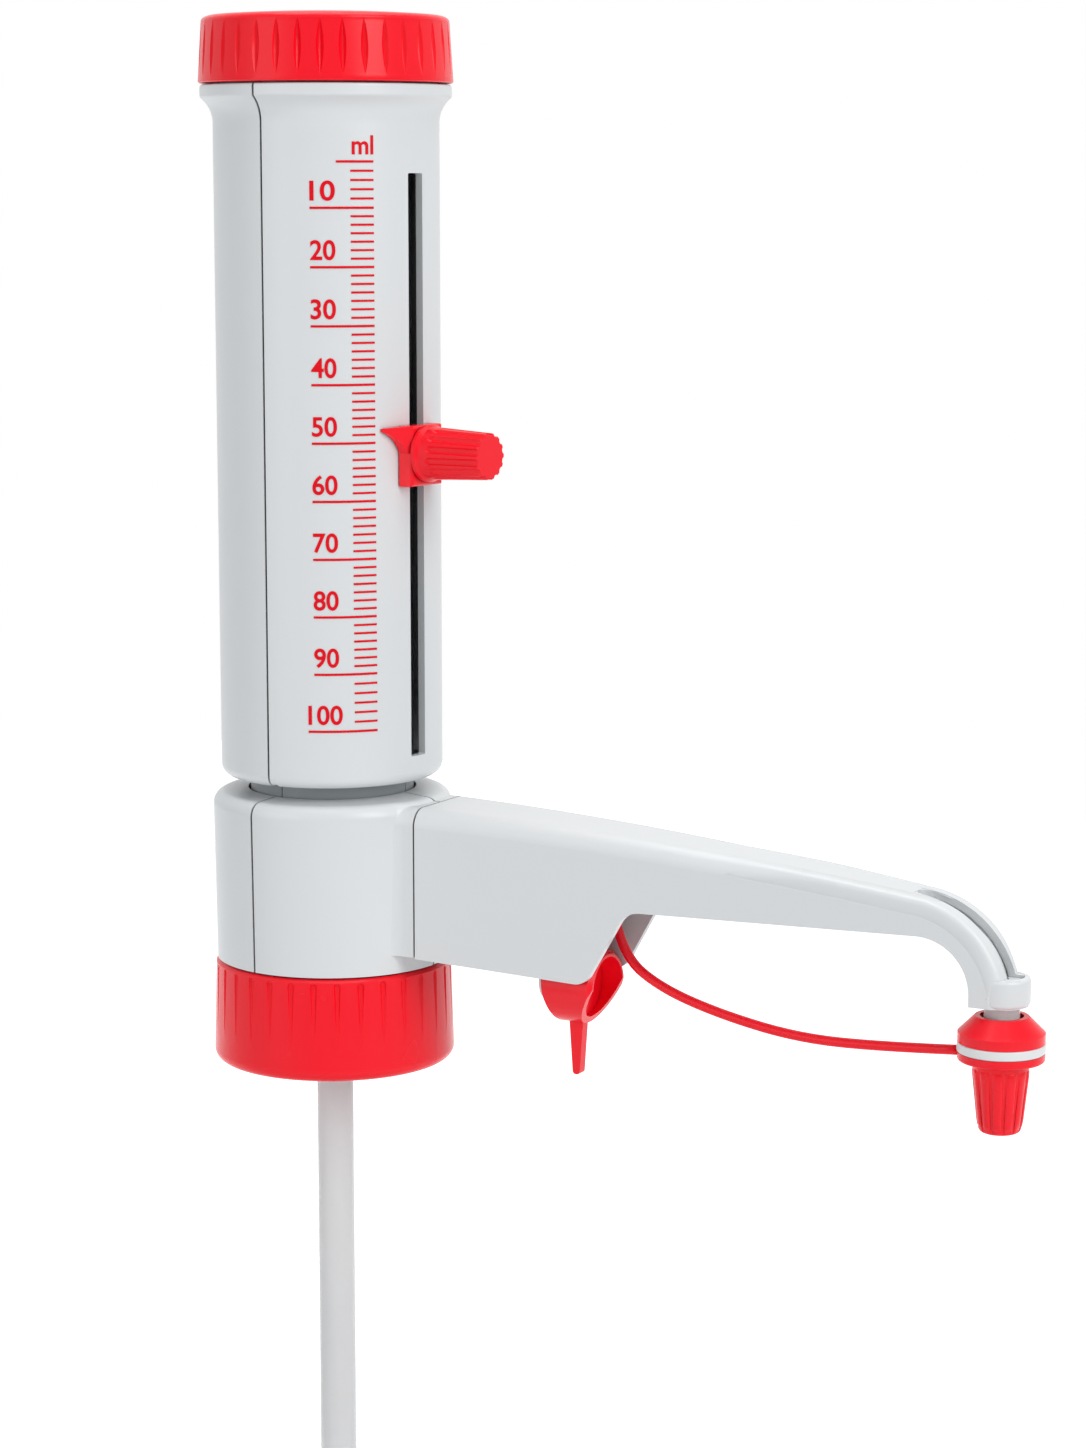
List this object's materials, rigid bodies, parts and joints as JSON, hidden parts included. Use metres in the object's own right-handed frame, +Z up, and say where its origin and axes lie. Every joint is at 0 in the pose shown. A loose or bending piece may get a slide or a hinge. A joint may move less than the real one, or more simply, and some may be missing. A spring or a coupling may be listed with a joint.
{
  "type": "bottle top dispenser",
  "caption": "Piston dispenser that screws onto a bottle neck, with a slotted lifting barrel, volume slider, side discharge arm, recirculation lever and tethered nozzle cap.",
  "frame": {"origin": "on the axis of the bottle neck, at the bottom edge of the screw collar", "axes": "+Z up along the neck and piston axis, +X along the discharge arm towards the nozzle"},
  "size_m": [0.2021, 0.0568, 0.472],
  "materials": {
    "red_plastic": "smooth moulded red plastic",
    "grey_plastic": "satin pale grey plastic",
    "sleeve_plastic": "satin blue-grey plastic",
    "white_plastic": "white sealing plastic",
    "clear_plastic": "translucent fluoropolymer",
    "block_plastic": "dark grey filled plastic",
    "cylinder_glass": "clear borosilicate glass",
    "ball_ceramic": "polished ceramic",
    "steel": "stainless steel"
  },
  "bodies": {
    "base": {"valve_block": "block_plastic", "bottle_seal": "white_plastic", "intake_valve_seat": "block_plastic", "intake_tube_upper": "clear_plastic", "glass_cylinder": "cylinder_glass", "sleeve_front": "sleeve_plastic", "sleeve_rear": "sleeve_plastic", "stop_ring": "sleeve_plastic", "body_near_shell": "grey_plastic", "body_far_shell": "grey_plastic", "body_back_shell": "grey_plastic", "discharge_valve_plug": "block_plastic", "arm_cover": "grey_plastic", "inlet_tube": "clear_plastic", "return_tube": "clear_plastic", "recirculation_valve": "grey_plastic", "discharge_tube": "clear_plastic", "nozzle_tip": "clear_plastic", "tether_strap": "red_plastic", "tether_eye": "red_plastic"},
    "collar": {"screw_collar": "red_plastic"},
    "barrel": {"barrel_front_shell": "grey_plastic", "barrel_rear_shell": "grey_plastic", "top_cap": "red_plastic", "piston": "white_plastic", "piston_holder": "grey_plastic", "piston_screw": "steel"},
    "slider": {"volume_slider": "red_plastic", "volume_stop": "grey_plastic"},
    "clamp": {"clamp_knob": "red_plastic", "clamp_screw": "steel"},
    "recirculation": {"recirculation_knob": "red_plastic", "recirculation_plug": "block_plastic"},
    "cap": {"cap_cone": "red_plastic", "seal_ring": "white_plastic", "tether_ring": "red_plastic", "cap_grip": "red_plastic"},
    "intake_check": {"intake_ball": "ball_ceramic"},
    "discharge_check": {"discharge_ball": "ball_ceramic"},
    "intake_pipe": {"intake_tube_lower": "clear_plastic"}
  },
  "joints": [
    {"name": "collar_spin", "type": "hinge", "parent": "base", "child": "collar", "pos_m": [0, 0, 0], "axis": [0, 0, 1], "continuous": true},
    {"name": "barrel_lift", "type": "slide", "parent": "base", "child": "barrel", "axis": [0, 0, 1], "range_m": [0, 0.0582]},
    {"name": "volume_slide", "type": "slide", "parent": "barrel", "child": "slider", "axis": [0, 0, -1], "range_m": [-0.0582, 0.0664]},
    {"name": "clamp_turn", "type": "hinge", "parent": "slider", "child": "clamp", "pos_m": [0.0282, -0.00356, 0.1406], "axis": [0.9921, -0.1253, 0], "range_deg": [0, 180]},
    {"name": "recirculation_turn", "type": "hinge", "parent": "base", "child": "recirculation", "pos_m": [0.0643, 0, 0.0238], "axis": [1, 0, 0], "range_deg": [-90, 90]},
    {"name": "cap_pull", "type": "slide", "parent": "base", "child": "cap", "axis": [0, 0, -1], "range_m": [0, 0.03], "deforming": ["tether_strap"]},
    {"name": "intake_lift", "type": "slide", "parent": "base", "child": "intake_check", "axis": [0, 0, 1], "range_m": [0, 0.0015]},
    {"name": "discharge_lift", "type": "slide", "parent": "base", "child": "discharge_check", "axis": [0, 0, 1], "range_m": [0, 0.0012]},
    {"name": "intake_pipe_slide", "type": "slide", "parent": "base", "child": "intake_pipe", "axis": [0, 0, 1], "range_m": [0, 0.05]}
  ]
}
